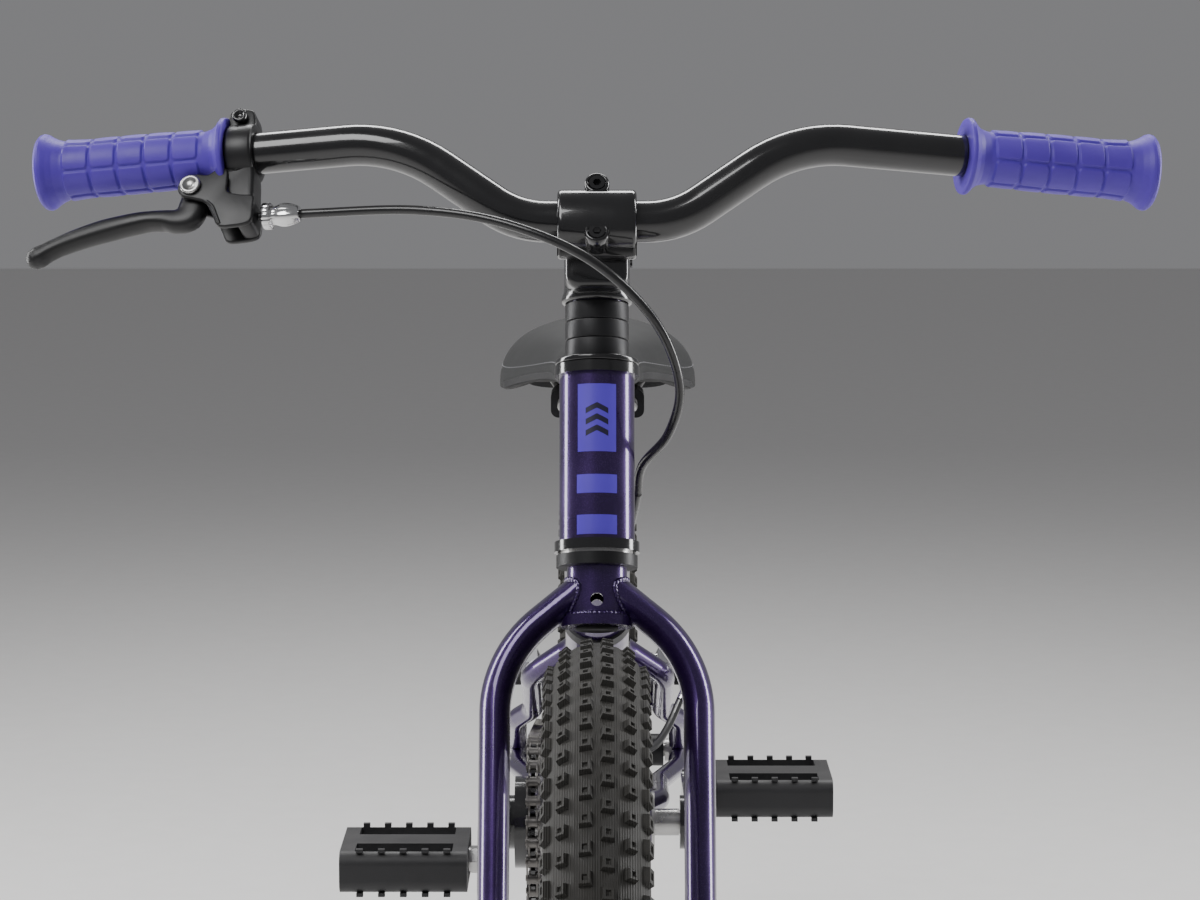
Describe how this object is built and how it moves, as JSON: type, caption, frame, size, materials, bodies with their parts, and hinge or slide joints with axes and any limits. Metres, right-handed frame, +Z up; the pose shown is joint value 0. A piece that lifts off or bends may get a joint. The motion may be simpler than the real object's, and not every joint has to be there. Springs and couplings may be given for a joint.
{
  "type": "bmx bike",
  "caption": "Children's BMX bike with a purple frame and fork, violet waffle grips, knobbly tyres, a low riser bar, chain drive and a hand-operated rear rim brake.",
  "frame": {"origin": "on the ground, at the middle of the bounding box, midway between the axles", "axes": "+X to the rider's left, +Y to the back of the bike, +Z up"},
  "size_m": [0.6041, 1.183, 0.6786],
  "materials": {
    "frame_paint": "deep purple metallic gloss",
    "black_paint": "gloss black",
    "satin_black": "satin black anodised",
    "steel": "zinc-plated",
    "chrome": "bright",
    "alloy": "polished alloy",
    "tyre_rubber": "dark knobbly rubber",
    "tube_rubber": "smooth",
    "grip_rubber": "soft violet waffle",
    "boot_rubber": "grey bellows",
    "pad_rubber": "dense",
    "cable_plastic": "black housing",
    "black_plastic": "moulded",
    "saddle_foam": "charcoal padded cover"
  },
  "bodies": {
    "frame": {"frame": "frame_paint", "headset_cups": "black_paint", "seat_clamp": "satin_black", "bottom_bracket_cups": "steel", "brake_housing_rear": "cable_plastic", "cable_clips": "black_plastic", "rear_axle": "steel", "rear_axle_nuts": "steel", "chain": "steel", "brake_pivot_bolts": "steel"},
    "steering": {"fork": "frame_paint", "crown_race": "satin_black", "headset_bearings": "steel", "headset_spacers": "satin_black", "stem": "black_paint", "stem_faceplate": "black_paint", "stem_bolts": "steel", "top_cap": "satin_black", "top_cap_bolt": "steel", "handlebar": "black_paint", "grip_left": "grip_rubber", "grip_right": "grip_rubber", "brake_perch": "black_paint", "lever_bolts": "steel", "barrel_adjuster": "chrome", "front_axle": "steel", "front_axle_nuts": "steel", "brake_housing_front": "cable_plastic"},
    "front_wheel": {"front_tyre": "tyre_rubber", "front_inner_tube": "tube_rubber", "front_rim": "alloy", "front_spokes": "steel", "front_hub": "satin_black"},
    "rear_wheel": {"rear_tyre": "tyre_rubber", "rear_inner_tube": "tube_rubber", "rear_rim": "alloy", "rear_spokes": "steel", "rear_hub": "satin_black"},
    "freewheel": {"freewheel_sprocket": "steel"},
    "crankset": {"crank_spindle": "steel", "crank_arm_left": "black_paint", "crank_arm_right": "black_paint", "chainring": "black_paint", "crank_bolts": "chrome", "pedal_axles": "steel"},
    "left_pedal": {"pedal_left": "black_plastic"},
    "right_pedal": {"pedal_right": "black_plastic"},
    "lever": {"brake_lever": "black_paint"},
    "left_brake": {"brake_arm_left": "alloy", "brake_pad_left": "pad_rubber", "noodle": "chrome", "straddle_wire": "steel", "cable_boot": "boot_rubber"},
    "right_brake": {"brake_arm_right": "alloy", "brake_pad_right": "pad_rubber"},
    "seat": {"seat_post": "black_paint", "saddle_pad": "saddle_foam", "saddle_base": "black_plastic", "saddle_rails": "steel", "saddle_clamp": "satin_black"}
  },
  "joints": [
    {"name": "steer", "type": "hinge", "parent": "frame", "child": "steering", "pos_m": [0, -0.286, 0.45], "axis": [0, 0.2756, 0.9613], "range_deg": [-60, 60], "deforming": ["brake_housing_front"]},
    {"name": "front_wheel_spin", "type": "hinge", "parent": "steering", "child": "front_wheel", "pos_m": [0, -0.385, 0.2065], "axis": [1, 0, 0], "continuous": true},
    {"name": "rear_wheel_spin", "type": "hinge", "parent": "frame", "child": "rear_wheel", "pos_m": [0, 0.385, 0.2065], "axis": [1, 0, 0], "continuous": true},
    {"name": "crank_spin", "type": "hinge", "parent": "frame", "child": "crankset", "pos_m": [0, 0.07588, 0.221], "axis": [1, 0, 0], "continuous": true, "deforming": ["chain"]},
    {"name": "freewheel_spin", "type": "hinge", "parent": "frame", "child": "freewheel", "pos_m": [0, 0.385, 0.2065], "axis": [1, 0, 0], "continuous": true},
    {"name": "left_pedal_spin", "type": "hinge", "parent": "crankset", "child": "left_pedal", "pos_m": [0, 0.18088, 0.221], "axis": [1, 0, 0], "continuous": true},
    {"name": "right_pedal_spin", "type": "hinge", "parent": "crankset", "child": "right_pedal", "pos_m": [0, -0.02912, 0.221], "axis": [1, 0, 0], "continuous": true},
    {"name": "lever_squeeze", "type": "hinge", "parent": "steering", "child": "lever", "pos_m": [-0.21271, -0.25664, 0.63197], "axis": [0.1964, 0.8032, -0.5624], "range_deg": [0, 17], "stiffness_Nm_per_rad": 1.2, "springref_deg": -8.59},
    {"name": "left_brake_close", "type": "hinge", "parent": "frame", "child": "left_brake", "pos_m": [0.04, 0.26807, 0.25856], "axis": [0, -0.4067, -0.9135], "range_deg": [0, 1.8], "deforming": ["straddle_wire", "cable_boot"]},
    {"name": "right_brake_close", "type": "hinge", "parent": "frame", "child": "right_brake", "pos_m": [-0.04, 0.26807, 0.25856], "axis": [0, 0.4067, 0.9135], "range_deg": [0, 1.8]},
    {"name": "seat_height", "type": "slide", "parent": "frame", "child": "seat", "axis": [0, 0.309, 0.9511], "range_m": [-0.03, 0.06]}
  ],
  "couplings": [
    {"joint": "freewheel_spin", "follows": "crank_spin", "ratio": 2.7778},
    {"joint": "left_brake_close", "follows": "lever_squeeze", "ratio": 0.10588},
    {"joint": "right_brake_close", "follows": "lever_squeeze", "ratio": 0.10588}
  ]
}
